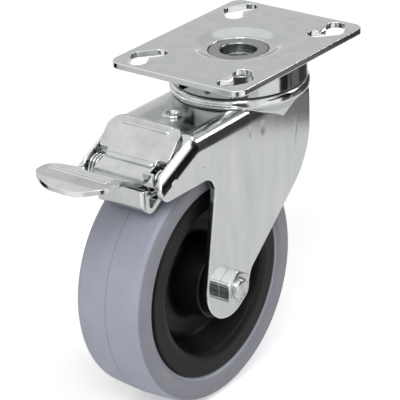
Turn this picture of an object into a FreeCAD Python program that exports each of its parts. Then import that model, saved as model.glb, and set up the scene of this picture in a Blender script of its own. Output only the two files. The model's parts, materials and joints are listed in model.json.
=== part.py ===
import FreeCAD, Part
import Sketcher
import math
import os
import re

# Swivel castor with a total-lock foot pedal: 125 mm wheel, 105 x 80 mm plate, millimetres throughout.
# The origin is the centre of the plate's top face, on the swivel axis. +Z is up, the axle lies along Y,
# the pedal is on the -X side, and the axle's nut is on the -Y side.

SIZES = {
    # Mounting plate
    "plate_length": 105.0,
    "plate_width": 80.0,
    "plate_thick": 3.0,
    "plate_corner": 6.0,
    "hole_half_width": 4.7,
    "hole_edge_x": 15.0,
    "hole_edge_y": 8.5,
    "hole_inner_run_x": 6.5,
    "hole_inner_run_y": 6.0,
    "hole_outer_run_x": 8.0,
    "hole_outer_run_y": 4.5,
    "dish_radius": 15.8,
    "dish_depth": 2.8,
    # Swivel head
    "cup_radius": 34.0,
    "cup_thick": 2.5,
    "cup_height": 12.7,
    "seal_gap": 0.3,
    "seal_thick": 0.5,
    "seal_inner": 29.8,
    "seal_outer": 33.6,
    "race_inner": 20.5,
    "race_outer": 29.5,
    "race_height": 4.5,
    "upper_ball_radius": 4.0,
    "upper_ball_circle": 26.0,
    "upper_ball_count": 18.0,
    "lower_ball_radius": 2.5,
    "lower_ball_circle": 17.5,
    "lower_ball_count": 18.0,
    "ball_clearance": 0.1,
    "kingpin_radius": 12.0,
    "kingpin_hollow": 9.1,
    "kingpin_floor": 8.5,
    "kingpin_flange": 15.0,
    "kingpin_flange_thick": 2.0,
    "lower_race_radius": 22.0,
    "lower_race_thick": 2.3,
    "lower_race_lip": 1.7,
    "lock_ring_radius": 22.5,
    "lock_ring_root": 18.8,
    "lock_ring_thick": 2.5,
    "lock_ring_teeth": 24.0,
    "lock_gap_width": 3.0,
    # Fork
    "steel": 3.0,
    "hat_radius": 35.0,
    "hat_top": 16.5,
    "hat_hole": 14.5,
    "hat_wall_height": 4.5,
    "flare": 8.0,
    "crown_top": 19.5,
    "fork_inner": 23.5,
    "bend_radius": 8.0,
    "trail": 49.5,
    "wheel_room": 42.5,
    "leg_end_radius": 16.9,
    "leg_front": 22.0,
    "leg_front_corner": 60.0,
    "leg_front_round": 40.0,
    "leg_waist_x": 31.0,
    "leg_waist_rise": 1.4,
    "leg_rear": 55.0,
    "arm_bottom": 43.5,
    "arm_slope_start": 70.0,
    "arm_tip_top_x": 91.5,
    "arm_tip_top": 30.0,
    "arm_tip_x": 97.0,
    "arm_tip_drop": 38.0,
    "arm_tip_round": 5.0,
    "inner_round": 8.0,
    "mouth_round": 7.0,
    "hood_end": 69.5,
    "hood_slot_half": 21.9,
    # Pedal
    "pedal_thick": 2.5,
    "pivot_x": 86.0,
    "pivot_drop": 37.5,
    "pivot_radius": 3.0,
    "turn_clearance": 0.05,
    "lip_end": 137.0,
    "lip_drop": 27.0,
    "lip_inner": 119.5,
    "lip_top_drop": 25.3,
    "valley_x": 96.5,
    "valley_drop": 35.6,
    "crease_x": 85.5,
    "crease_drop": 31.0,
    "tread_x": 76.5,
    "tread_drop": 20.9,
    "tread_end": 68.5,
    "tread_end_drop": 17.9,
    "wing_rise": 1.3,
    "lip_half": 21.5,
    "neck_half": 15.0,
    "tread_half": 21.2,
    "lip_bend": 20.0,
    "ridge_angle": 7.4,
    "ridge_radius": 0.9,
    "ridge_sink": 0.5,
    "cheek_outer": 15.0,
    "cheek_radius": 6.4,
    # Brake lever
    "lever_thick": 3.0,
    "lever_pin_x": 66.0,
    "lever_pin_drop": 38.3,
    "lever_pin_radius": 2.5,
    "lever_arm_drop": 33.8,
    "lever_arm_half": 8.0,
    "lever_half": 15.4,
    "lever_neck_x": 61.0,
    "lever_cheek_radius": 5.6,
    "shoe_stand": 4.95,
    "shoe_overrun": 0.65,
    "shoe_back_angle": 21.5,
    "shoe_front_angle": 40.8,
    "shoe_top": 40.4,
    "lever_bend_x": 70.5,
    "tooth_width": 2.2,
    "tooth_inner": 19.5,
    "tooth_outer": 22.3,
    "tooth_drop": 30.1,
    "pad_thick": 1.6,
    "pad_half": 14.0,
    "lining_back_angle": 23.5,
    "lining_front_angle": 37.0,
    # Wheel
    "tyre_radius": 62.5,
    "tyre_half": 20.0,
    "crown_radius": 130.0,
    "tyre_shoulder": 4.0,
    "tyre_wall": 13.0,
    "seat_depth": 3.5,
    "rim_half": 18.9,
    "flange_foot": 17.4,
    "rim_seat_half": 15.0,
    "flange_ring": 11.5,
    "bowl_wall": 7.0,
    "web_half": 3.5,
    "hub_radius": 18.0,
    "hub_half": 21.3,
    # Ball bearings, axle and fasteners
    "bearing_outer": 14.0,
    "bearing_bore": 6.0,
    "bearing_width": 8.0,
    "bearing_inset": 12.5,
    "bearing_ball": 2.4,
    "bearing_ball_count": 8.0,
    "tube_bore": 5.1,
    "bolt_radius": 5.0,
    "bolt_hole": 5.2,
    "bolt_end": 35.2,
    "nut_flats": 16.0,
    "nut_thick": 6.5,
    "head_thick": 6.4,
    "washer_radius": 10.0,
    "washer_thick": 1.6,
    # Springs and rivet
    "rivet_x": 53.5,
    "rivet_radius": 2.5,
    "rivet_head": 5.0,
    "rivet_dimple": 2.9,
    "rivet_head_height": 1.6,
    "leaf_thick": 1.0,
    "leaf_front": 44.0,
    "leaf_bend": 60.0,
    "leaf_end": 67.5,
    "leaf_end_drop": 30.6,
    "leaf_half": 6.0,
    "wire_radius": 0.8,
    "coil_radius": 5.0,
    "coil_turns": 3.0,
    "coil_pitch": 1.9,
    "coil_inner": 16.65,
    "spring_leg": 8.0,
}

# These follow from the wheel: the axle hangs below it by its radius, and the shoe stays off its tread.
FOLLOWING = {
    "axle_drop": "=tyre_radius + wheel_room",
    "leg_waist_drop": "=axle_drop - leg_waist_rise",
    "shoe_radius": "=tyre_radius + shoe_stand",
}

doc = FreeCAD.newDocument("castor")
sheet = doc.addObject("Spreadsheet::Sheet", "Sizes")
for row, (name, words) in enumerate({**SIZES, **FOLLOWING}.items(), start=1):
    sheet.set("A%d" % row, name)
    sheet.set("B%d" % row, str(words))
    sheet.setAlias("B%d" % row, name)
doc.recompute()

NODES = []
ORIGIN = FreeCAD.Vector(0, 0, 0)
UP = FreeCAD.Vector(0, 0, 1)
X_AXIS = FreeCAD.Vector(1, 0, 0)


def bound(words):
    """The same expression with each size read from the sheet."""
    named = {**SIZES, **FOLLOWING}
    return re.sub(r"[a-z][a-z_]+", lambda m: "Sizes." + m.group(0) if m.group(0) in named else m.group(0), words)


def number(words):
    """The present value of an expression of sizes."""
    return float(sheet.evalExpression(bound(words)))


def tie(thing, prop, words):
    thing.setExpression(prop, bound(words))


def add_node(thing, label):
    thing.Label = label
    NODES.append(thing)
    return thing


def new_body(label, base=None):
    """A body for one piece, moved by the expressions in base."""
    body = add_node(doc.addObject("PartDesign::Body", "Body_" + label), label)
    for axis, words in (base or {}).items():
        tie(body, "Placement.Base." + axis, words)
    return body


def new_sketch(body, plane, lift="0"):
    """A sketch on one of the body's own planes, lifted along the plane's normal."""
    sketch = body.newObject("Sketcher::SketchObject", body.Label + "_sketch")
    support = next(f for f in body.Origin.OriginFeatures if f.Role == plane)
    sketch.AttachmentSupport = [(support, "")]
    sketch.MapMode = "FlatFace"
    tie(sketch, "AttachmentOffset.Base.z", lift)
    return sketch


def hold(sketch, kind, geometry, point, words):
    """Ties one coordinate of a point to an expression, or to the axis where it is nought."""
    if words == "0":
        axis = -2 if kind == "DistanceX" else -1
        sketch.addConstraint(Sketcher.Constraint("PointOnObject", geometry, point, axis))
        return
    index = sketch.addConstraint(Sketcher.Constraint(kind, geometry, point, number(words)))
    tie(sketch, "Constraints[%d]" % index, words)


def unit_turned(vector, angle):
    """A vector turned by an angle, at unit length."""
    x = vector.x * math.cos(angle) - vector.y * math.sin(angle)
    y = vector.x * math.sin(angle) + vector.y * math.cos(angle)
    return FreeCAD.Vector(x, y, 0).normalize()


def right_of(way):
    return FreeCAD.Vector(way.y, -way.x, 0)


def span(a, b):
    """Where the straight between two outline points starts and ends. A disc lies to its left."""
    start, end = a["at"], b["at"]
    gap = end - start
    way = FreeCAD.Vector(gap).normalize()
    if a["disc"] and b["disc"]:
        way = unit_turned(gap, math.asin((a["r"] - b["r"]) / gap.Length))
    elif a["disc"]:
        way = unit_turned(gap, math.asin(a["r"] / gap.Length))
    elif b["disc"]:
        way = unit_turned(gap, -math.asin(b["r"] / gap.Length))
    if a["disc"]:
        start = start + right_of(way) * a["r"]
    if b["disc"]:
        end = end + right_of(way) * b["r"]
    return start, end, way


def outline(sketch, points, closed=True):
    """Straight lines through the points, tied to the sheet. A third word rounds a corner. A disc is a round
    that the lines meet as tangents, with its centre at the point."""
    spots = []
    for words in points:
        spot = {"words": words, "disc": len(words) == 4, "r": number(words[2]) if len(words) > 2 else 0.0}
        spot["at"] = FreeCAD.Vector(number(words[0]), number(words[1]), 0)
        spots.append(spot)
    count = len(spots)
    spans = [span(spots[i], spots[(i + 1) % count]) for i in range(count if closed else count - 1)]
    ends = [list(s[:2]) for s in spans]
    for i, spot in enumerate(spots):
        if spot["r"] and not spot["disc"]:
            way_in, way_out = spans[i - 1][2], spans[i][2]
            turn = way_in.getAngle(way_out)
            back = spot["r"] * math.tan(turn / 2)
            ends[i - 1][1] = spot["at"] - way_in * back
            ends[i][0] = spot["at"] + way_out * back
    lines = [sketch.addGeometry(Part.LineSegment(a, b)) for a, b in ends]
    for i, spot in enumerate(spots):
        words = spot["words"]
        first, last = lines[i - 1], lines[i % len(lines)]
        if not closed and i in (0, count - 1):
            line, end = (last, 1) if i == 0 else (first, 2)
            hold(sketch, "DistanceX", line, end, words[0])
            hold(sketch, "DistanceY", line, end, words[1])
            continue
        if not spot["r"]:
            sketch.addConstraint(Sketcher.Constraint("Coincident", first, 2, last, 1))
            hold(sketch, "DistanceX", last, 1, words[0])
            hold(sketch, "DistanceY", last, 1, words[1])
            continue
        way_in, way_out = spans[i - 1][2], spans[i][2]
        left = spot["disc"] or (way_in.cross(way_out)).z > 0
        side = -1 if left else 1
        start, end = ends[i - 1][1], ends[i][0]
        centre = start + right_of(way_in) * (side * spot["r"])
        low, high = (start, end) if left else (end, start)
        angles = [math.atan2(p.y - centre.y, p.x - centre.x) for p in (low, high)]
        circle = Part.Circle(centre, UP, spot["r"])
        arc = sketch.addGeometry(Part.ArcOfCircle(circle, angles[0], angles[1]))
        entry, leave = (1, 2) if left else (2, 1)
        sketch.addConstraint(Sketcher.Constraint("Tangent", first, 2, arc, entry))
        sketch.addConstraint(Sketcher.Constraint("Tangent", last, 1, arc, leave))
        index = sketch.addConstraint(Sketcher.Constraint("Radius", arc, spot["r"]))
        tie(sketch, "Constraints[%d]" % index, words[2])
        if spot["disc"]:
            hold(sketch, "DistanceX", arc, 3, words[0])
            hold(sketch, "DistanceY", arc, 3, words[1])
            continue
        corner = sketch.addGeometry(Part.Point(spot["at"]), True)
        sketch.addConstraint(Sketcher.Constraint("PointOnObject", corner, 1, first))
        sketch.addConstraint(Sketcher.Constraint("PointOnObject", corner, 1, last))
        hold(sketch, "DistanceX", corner, 1, words[0])
        hold(sketch, "DistanceY", corner, 1, words[1])
    return sketch


def circle_in(sketch, x, y, radius):
    """A whole circle tied to the sheet."""
    centre = FreeCAD.Vector(number(x), number(y), 0)
    ring = sketch.addGeometry(Part.Circle(centre, UP, number(radius)))
    hold(sketch, "DistanceX", ring, 3, x)
    hold(sketch, "DistanceY", ring, 3, y)
    index = sketch.addConstraint(Sketcher.Constraint("Radius", ring, number(radius)))
    tie(sketch, "Constraints[%d]" % index, radius)
    return sketch


def feature(body, kind, sketch, words=None):
    """A pad or pocket of a sketch. With no length, a pocket goes right through both ways."""
    made = body.newObject("PartDesign::" + kind, body.Label + "_" + kind.lower())
    made.Profile = sketch
    if words is None:
        made.Type = "ThroughAll"
        made.Midplane = True
        return made
    made.Midplane = True
    tie(made, "Length", words)
    return made


def pad(body, sketch, words):
    return feature(body, "Pad", sketch, words)


def pocket(body, sketch, words=None):
    return feature(body, "Pocket", sketch, words)


def turned(body, kind, sketch, axis="V_Axis"):
    """A full turn of a profile about one of its sketch's axes."""
    made = body.newObject("PartDesign::" + kind, body.Label + "_" + kind.lower())
    made.Profile = sketch
    made.ReferenceAxis = (sketch, [axis])
    made.Angle = 360.0
    return made


def ring_body(label, points, plane="XZ_Plane", axis="V_Axis", base=None):
    """A turned piece from its half section."""
    body = new_body(label, base)
    turned(body, "Revolution", outline(new_sketch(body, plane), points), axis)
    return body


def round_edges(body, words, wanted):
    """A fillet on the edges that a test picks by their middle point and direction."""
    doc.recompute()
    tip = body.Tip
    names = []
    for i, edge in enumerate(tip.Shape.Edges, start=1):
        middle = edge.valueAt((edge.FirstParameter + edge.LastParameter) / 2)
        way = edge.tangentAt((edge.FirstParameter + edge.LastParameter) / 2)
        if wanted(middle, way):
            names.append("Edge%d" % i)
    made = body.newObject("PartDesign::Fillet", body.Label + "_fillet")
    made.Base = (tip, names)
    tie(made, "Radius", words)
    return made


def repeat(body, features, count, plane_axis="Z_Axis"):
    """Copies of features round one of the body's own axes."""
    made = body.newObject("PartDesign::PolarPattern", body.Label + "_pattern")
    made.Originals = features
    made.Axis = (next(f for f in body.Origin.OriginFeatures if f.Role == plane_axis), [""])
    made.Angle = 360.0
    tie(made, "Occurrences", count)
    body.Tip = made
    return made


def torus_groove(body, circle, radius, height):
    """A round groove about Z, such as a ball's track."""
    made = body.newObject("PartDesign::SubtractiveTorus", body.Label + "_track")
    tie(made, "Radius1", circle)
    tie(made, "Radius2", radius)
    support = next(f for f in body.Origin.OriginFeatures if f.Role == "XY_Plane")
    made.AttachmentSupport = [(support, "")]
    made.MapMode = "FlatFace"
    tie(made, "AttachmentOffset.Base.z", height)
    return made


def ball_set(label, circle, radius, count, place):
    """Loose balls in one node, evenly spaced on a circle, about Z or about the axle."""
    thing = add_node(doc.addObject("Part::Feature", "Balls_" + label), label)
    number_of = int(number(count))
    balls = []
    for i in range(number_of):
        angle = 2 * math.pi * (i + 0.5) / number_of
        at = FreeCAD.Vector(number(circle) * math.cos(angle), number(circle) * math.sin(angle), 0)
        balls.append(Part.makeSphere(number(radius), at))
    thing.Shape = Part.makeCompound(balls)
    thing.Placement = place
    return thing


def tube_profile(inner, outer, low, high):
    """A plain ring's half section, along the second axis of an XZ sketch."""
    return [(inner, low), (outer, low), (outer, high), (inner, high)]


# Heights, all measured down from the plate's top face.
CUP_FLOOR = "-plate_thick - cup_thick"
UPPER_BALLS = CUP_FLOOR + " - ball_clearance - upper_ball_radius"
HAT_UNDER = "-hat_top - steel"
LOWER_BALLS = HAT_UNDER + " - ball_clearance - lower_ball_radius"
LOWER_RACE_TOP = LOWER_BALLS + " - lower_ball_radius - ball_clearance"
LOCK_RING_TOP = LOWER_RACE_TOP + " - lower_race_thick"
LOCK_RING_UNDER = LOCK_RING_TOP + " - lock_ring_thick"
FORK_OUTER = "fork_inner + steel"


def mounting_plate():
    body = new_body("mounting_plate")
    x, y, r = "plate_length / 2", "plate_width / 2", "plate_corner"
    corners = [("-" + x, "-" + y, r), (x, "-" + y, r), (x, y, r), ("-" + x, y, r)]
    sketch = outline(new_sketch(body, "XY_Plane", "-plate_thick / 2"), corners)
    pad(body, sketch, "plate_thick")
    # The dish round the kingpin is pressed down, so its floor stands below the plate.
    floor = "-dish_depth - kingpin_flange_thick"
    boss = [("0", "-plate_thick + 0.1"), ("dish_radius + plate_thick", "-plate_thick + 0.1"),
            ("dish_radius + plate_thick - 0.5", floor + " - plate_thick", "1.5"), ("0", floor + " - plate_thick")]
    turned(body, "Revolution", outline(new_sketch(body, "XZ_Plane"), boss))
    dish = [("0", "0"), ("dish_radius", "0"), ("dish_radius - 0.5", floor), ("0", floor)]
    turned(body, "Groove", outline(new_sketch(body, "XZ_Plane"), dish))
    pocket(body, circle_in(new_sketch(body, "XY_Plane"), "0", "0", "kingpin_radius"))
    # Each bolt hole is two slots that meet, so that several bolt spacings fit.
    for side_x in ("", "-"):
        for side_y in ("", "-"):
            slot(body, side_x, side_y, " - hole_inner_run_x", " - hole_inner_run_y")
            slot(body, side_x, side_y, " + hole_outer_run_x", " - hole_outer_run_y")
    return body


def slot(body, side_x, side_y, run_x, run_y):
    """One slot of a bolt hole, from its vertex to an end, with round ends."""
    vertex_x, vertex_y = "plate_length / 2 - hole_edge_x", "plate_width / 2 - hole_edge_y"
    ends = [(vertex_x, vertex_y), (vertex_x + run_x, vertex_y + run_y)]
    points = [("%s(%s)" % (side_x, x), "%s(%s)" % (side_y, y), "hole_half_width", "disc") for x, y in ends]
    pocket(body, outline(new_sketch(body, "XY_Plane"), points))


def upper_race_cup():
    body = ring_body("upper_race_cup", [
        ("dish_radius + plate_thick + 0.4", "-plate_thick"), ("cup_radius", "-plate_thick", "cup_thick"),
        ("cup_radius", "-plate_thick - cup_height"), ("cup_radius - cup_thick", "-plate_thick - cup_height"),
        ("cup_radius - cup_thick", CUP_FLOOR), ("dish_radius + plate_thick + 0.4", CUP_FLOOR)])
    return body


def kingpin():
    top, flange = "-dish_depth", "kingpin_flange_thick"
    under = LOCK_RING_UNDER + " - kingpin_flange_thick"
    return ring_body("kingpin", [
        ("kingpin_hollow", top, "1.2"), ("kingpin_flange", top, "0.8"), ("kingpin_flange", top + " - " + flange),
        ("kingpin_radius", top + " - " + flange), ("kingpin_radius", LOCK_RING_UNDER),
        ("kingpin_flange", LOCK_RING_UNDER), ("kingpin_flange", under, "0.8"), ("0", under),
        ("0", "-kingpin_floor"), ("kingpin_hollow", "-kingpin_floor")])


def lower_race():
    lip = LOWER_RACE_TOP + " + lower_race_lip"
    return ring_body("lower_race", [
        ("kingpin_radius", LOCK_RING_TOP), ("lower_race_radius", LOCK_RING_TOP), ("lower_race_radius", lip),
        ("lower_race_radius - 1.4", lip), ("lower_race_radius - 1.4", LOWER_RACE_TOP, "0.5"),
        ("kingpin_radius", LOWER_RACE_TOP)])


def lock_ring():
    body = ring_body("lock_ring", tube_profile("kingpin_radius", "lock_ring_radius", LOCK_RING_UNDER, LOCK_RING_TOP))
    sketch = new_sketch(body, "XY_Plane")
    half = "lock_gap_width / 2"
    outline(sketch, [("lock_ring_root", "-" + half), ("lock_ring_radius + 1", "-" + half),
                     ("lock_ring_radius + 1", half), ("lock_ring_root", half)])
    gap = pocket(body, sketch)
    repeat(body, [gap], "lock_ring_teeth")
    return body


def fork():
    """Pressed from one sheet: a raised crown, a hood towards the pedal, two legs and two pedal arms."""
    body = new_body("fork")
    side = [("leg_front", "-crown_top"), ("-arm_slope_start", "-crown_top", "14"),
            ("-arm_tip_top_x", "-arm_tip_top"), ("-arm_tip_x", "-arm_tip_drop", "arm_tip_round"),
            ("-arm_tip_x + 3", "-arm_bottom", "arm_tip_round - 1"), ("-leg_rear", "-arm_bottom", "inner_round"),
            ("-trail", "-axle_drop", "leg_end_radius", "disc"), ("-leg_waist_x", "-leg_waist_drop", "inner_round"),
            ("leg_front", "-leg_front_corner", "leg_front_round")]
    pad(body, outline(new_sketch(body, "XZ_Plane"), side), "2 * (%s)" % FORK_OUTER)
    outer = number(FORK_OUTER)
    top = -number("crown_top")
    round_edges(body, "bend_radius", lambda p, w: abs(abs(p.y) - outer) < 0.01 and abs(w.y) < 0.01
                and p.z > top - 10.6 and p.x < number("leg_front") - 0.1 and abs(w.x) > 0.5
                and not (p.x < -number("arm_tip_top_x") + 0.1))
    # The crown is solid for now: its underside is hollowed out below.
    crown = [("0", "-hat_top"), ("hat_radius", "-hat_top", "2"), ("hat_radius", "-hat_top - hat_wall_height", "1.5"),
             (FORK_OUTER, "-hat_top - hat_wall_height - flare", "flare"),
             (FORK_OUTER, "-hat_top - hat_wall_height - flare - 3"), ("0", "-hat_top - hat_wall_height - flare - 3")]
    turned(body, "Revolution", outline(new_sketch(body, "XZ_Plane"), crown))
    front, rear = "hat_radius + 5", "-arm_tip_x - 10"
    room = [(front, "-crown_top - steel"), (front, "-axle_drop - leg_end_radius - 5"),
            (rear, "-axle_drop - leg_end_radius - 5"), (rear, "-arm_tip_top - 12"),
            ("-arm_slope_start - 0.5 * steel", "-crown_top - steel", "14 - steel")]
    pocket(body, outline(new_sketch(body, "XZ_Plane"), room), "2 * fork_inner")
    hollow = [("0", HAT_UNDER), ("hat_radius - steel", HAT_UNDER, "1"),
              ("hat_radius - steel", "-hat_top - hat_wall_height - 1", "1.5"),
              ("fork_inner", "-hat_top - hat_wall_height - flare - 1", "flare"),
              ("fork_inner", "-hat_top - hat_wall_height - flare - 5"),
              ("0", "-hat_top - hat_wall_height - flare - 5")]
    turned(body, "Groove", outline(new_sketch(body, "XZ_Plane"), hollow))
    pocket(body, circle_in(new_sketch(body, "XY_Plane"), "0", "0", "hat_hole"))
    slot_half, end = "hood_slot_half", "-hood_end"
    mouth = [("-arm_tip_x - 5", "-" + slot_half), (end, "-" + slot_half, "mouth_round"), (end, slot_half, "mouth_round"),
             ("-arm_tip_x - 5", slot_half)]
    pocket(body, outline(new_sketch(body, "XY_Plane"), mouth))
    holes = new_sketch(body, "XZ_Plane")
    circle_in(holes, "-trail", "-axle_drop", "bolt_hole")
    circle_in(holes, "-pivot_x", "-pivot_drop", "pivot_radius")
    circle_in(holes, "-lever_pin_x", "-lever_pin_drop", "lever_pin_radius")
    pocket(body, holes)
    pocket(body, circle_in(new_sketch(body, "XY_Plane"), "-rivet_x", "0", "rivet_radius"))
    return body


def fork_race():
    low = "-hat_top"
    body = ring_body("fork_race", tube_profile("race_inner", "race_outer", low, low + " + race_height"))
    torus_groove(body, "upper_ball_circle", "upper_ball_radius + ball_clearance", UPPER_BALLS)
    return body


def dust_seal():
    return ring_body("dust_seal", tube_profile("seal_inner", "seal_outer", "-hat_top", "-hat_top + seal_thick"))


def brake_pedal():
    """One pressing: a curved foot lip, a neck over the pin, and an upper tread that lifts when it is pressed."""
    body = new_body("brake_pedal")
    path = [("-lip_end", "-lip_drop"), ("-lip_end + 6", "-lip_top_drop", "12"),
            ("-lip_inner", "-lip_top_drop", "lip_bend"), ("-valley_x", "-valley_drop", "6"),
            ("-crease_x", "-crease_drop", "5"), ("-tread_x", "-tread_drop", "8"),
            ("-tread_end - 2.5", "-tread_end_drop", "4"), ("-tread_end", "-tread_end_drop")]
    strip(body, path, "lip_end", "lip_drop", "pedal_thick", "2 * lip_half + 4")
    plan = [("-lip_end", "-10", "22"), ("-lip_end + 7.5", "-lip_half", "6"), ("-lip_end + 15.5", "-lip_half", "24"),
            ("-lip_end + 35", "-neck_half", "20"), ("-crease_x + wing_rise", "-neck_half"),
            ("-crease_x + wing_rise", "-tread_half", "1.5"), ("-tread_end", "-tread_half", "9")]
    trim(body, plan, "-lip_end - 5", "0", "lip_half + 10")
    cheeks(body, "pivot_x", "pivot_drop", "cheek_radius", "cheek_outer", "pedal_thick", "pivot_radius",
           [("-crease_x + 4", "-crease_drop + 4"), ("-crease_x", "-crease_drop - 0.8"),
            ("-valley_x + 1.5", "-valley_drop + 0.8")])
    # Grip ridges across the lip, and two beads across the tread's upper end.
    ridges = new_sketch(body, "XZ_Plane")
    slope = "atan((valley_drop - lip_top_drop) / (lip_inner - valley_x))"
    bend_x = "(-lip_inner - lip_bend * tan(%s / 2))" % slope
    reach = "(lip_bend + pedal_thick / 2 - ridge_sink)"
    for step in (0, 1, 2, 3):
        angle = "(%d * ridge_angle)" % step
        circle_in(ridges, "%s + %s * sin(%s)" % (bend_x, reach, angle),
                  "-lip_top_drop - lip_bend + %s * cos(%s)" % (reach, angle), "ridge_radius")
    pad(body, ridges, "2 * lip_half - 9")
    beads = new_sketch(body, "XZ_Plane")
    for x, z in (("-tread_end - 2.4", "-tread_end_drop + 0.6"), ("-tread_end - 5.3", "-tread_end_drop - 0.6")):
        circle_in(beads, x, z, "ridge_radius")
    pad(body, beads, "2 * tread_half - 14")
    crease = circle_in(new_sketch(body, "XZ_Plane"), "-crease_x - 1", "-crease_drop + 0.7", "ridge_radius + 0.4")
    pad(body, crease, "2 * neck_half - 3")
    return body


def strip(body, path, start, drop, thick, width):
    """A bent strip of sheet that follows a path seen from the side."""
    spine = outline(new_sketch(body, "XZ_Plane"), path, closed=False)
    section = new_sketch(body, "YZ_Plane", "-" + start)
    wide, low, high = "(%s) / 2" % width, "-%s - %s / 2" % (drop, thick), "-%s + %s / 2" % (drop, thick)
    outline(section, [("-" + wide, low), (wide, low), (wide, high), ("-" + wide, high)])
    made = body.newObject("PartDesign::AdditivePipe", body.Label + "_strip")
    made.Profile = section
    made.Spine = (spine, [])
    return made


def trim(body, half, low_x, high_x, wide):
    """Cuts a strip to the plan that half an outline gives, mirrored about X."""
    other = [(x, y[1:], *rest) for x, y, *rest in reversed(half)]
    sketch = new_sketch(body, "XY_Plane")
    outline(sketch, half + other)
    outline(sketch, [(low_x, "-(%s)" % wide), (high_x, "-(%s)" % wide), (high_x, wide), (low_x, wide)])
    return pocket(body, sketch)


def cheeks(body, x, drop, radius, outer, thick, pin, top):
    """Two ears that hang from a strip and turn on a pin. The top points lie inside the strip."""
    eye = ("-" + x, "-" + drop, radius, "disc")
    for side in ("", "-"):
        middle = "%s(%s - %s / 2)" % (side, outer, thick)
        pad(body, outline(new_sketch(body, "XZ_Plane", middle), top + [eye]), thick)
    hole = circle_in(new_sketch(body, "XZ_Plane"), "-" + x, "-" + drop, pin + " + turn_clearance")
    pocket(body, hole)


def brake_lever():
    """A see-saw on its own pin: the outer end is the brake shoe, the inner end carries the swivel lock's teeth."""
    body = new_body("brake_lever")
    reach = "(shoe_radius + shoe_overrun)"
    back = ("-trail - %s * sin(shoe_back_angle)" % reach, "-axle_drop + %s * cos(shoe_back_angle)" % reach, "4")
    front_x = "-trail - %s * sin(shoe_front_angle)" % reach
    front_z = "-axle_drop + %s * cos(shoe_front_angle)" % reach
    path = [("-tooth_inner - 1", "-lever_arm_drop"), ("-lever_bend_x", "-lever_arm_drop", "4"), back,
            ("-trail", "-axle_drop", "shoe_radius", "disc"), (front_x, front_z, "3"), (front_x, "-shoe_top")]
    strip(body, path, "tooth_inner - 1", "lever_arm_drop", "lever_thick", "2 * lever_half + 4")
    far = front_x + " - lever_thick / 2"
    plan = [(far, "-lever_half", "3"), ("-lever_neck_x", "-lever_half", "4"),
            ("-lever_neck_x + 6", "-lever_arm_half", "4"), ("-tooth_inner - 1", "-lever_arm_half", "2")]
    trim(body, plan, far + " - 10", "0", "lever_half + 10")
    cheeks(body, "lever_pin_x", "lever_pin_drop", "lever_cheek_radius", "lever_half", "lever_thick",
           "lever_pin_radius", [("-lever_pin_x + 5.2", "-lever_arm_drop + 0.5"), ("-lever_bend_x", "-lever_arm_drop")])
    # Three teeth reach up towards the lock ring's gaps, on the same circle as the ring.
    root, top = "-lever_arm_drop", "-tooth_drop"
    for angle in (-15, 0, 15):
        sketch = new_sketch(body, "XY_Plane", "(%s + %s) / 2" % (root, top))
        middle = "(tooth_inner + tooth_outer) / 2"
        long, wide = "(tooth_outer - tooth_inner) / 2", "tooth_width / 2"
        corners = []
        for u, v in ((-1, -1), (1, -1), (1, 1), (-1, 1)):
            out, across = "(%s + %d * %s)" % (middle, u, long), "(%d * %s)" % (v, wide)
            corners.append(("-(%s * cos(%d) - %s * sin(%d))" % (out, angle, across, angle),
                            "-(%s * sin(%d) + %s * cos(%d))" % (out, angle, across, angle)))
        pad(body, outline(sketch, corners), "%s - %s" % (top, root))
    return body


def brake_lining():
    """A pad bonded under the shoe, on the same centre as the tyre."""
    body = new_body("brake_lining", {"x": "-trail", "z": "-axle_drop"})
    sketch = new_sketch(body, "XZ_Plane")
    outer = "shoe_radius - lever_thick / 2"
    inner = outer + " - pad_thick"
    low, high = 90 + number("lining_back_angle"), 90 + number("lining_front_angle")
    arcs = []
    for words in (outer, inner):
        circle = Part.Circle(ORIGIN, UP, number(words))
        arc = sketch.addGeometry(Part.ArcOfCircle(circle, math.radians(low), math.radians(high)))
        sketch.addConstraint(Sketcher.Constraint("Coincident", arc, 3, -1, 1))
        index = sketch.addConstraint(Sketcher.Constraint("Radius", arc, number(words)))
        tie(sketch, "Constraints[%d]" % index, words)
        arcs.append(arc)
    for point, angle, words in ((1, low, "lining_back_angle"), (2, high, "lining_front_angle")):
        far = FreeCAD.Vector(math.cos(math.radians(angle)), math.sin(math.radians(angle)), 0)
        side = sketch.addGeometry(Part.LineSegment(far * number(inner), far * number(outer)))
        sketch.addConstraint(Sketcher.Constraint("Coincident", side, 1, arcs[1], point))
        sketch.addConstraint(Sketcher.Constraint("Coincident", side, 2, arcs[0], point))
        sketch.addConstraint(Sketcher.Constraint("PointOnObject", -1, 1, side))
        hold(sketch, "DistanceX", side, 2, "-(%s) * sin(%s)" % (outer, words))
    pad(body, sketch, "2 * pad_half")
    return body


AXLE = {"x": "-trail", "z": "-axle_drop"}


def axle_ring(label, points):
    """A turned piece on the axle: the first word is along the axle, the second is the radius."""
    return ring_body(label, points, "YZ_Plane", "H_Axis", AXLE)


def axle_tube_profile(inner, outer, low, high):
    return [(low, inner), (high, inner), (high, outer), (low, outer)]


RIM_RADIUS = "tyre_radius - tyre_wall"
RIM_SEAT = RIM_RADIUS + " - seat_depth"


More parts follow.
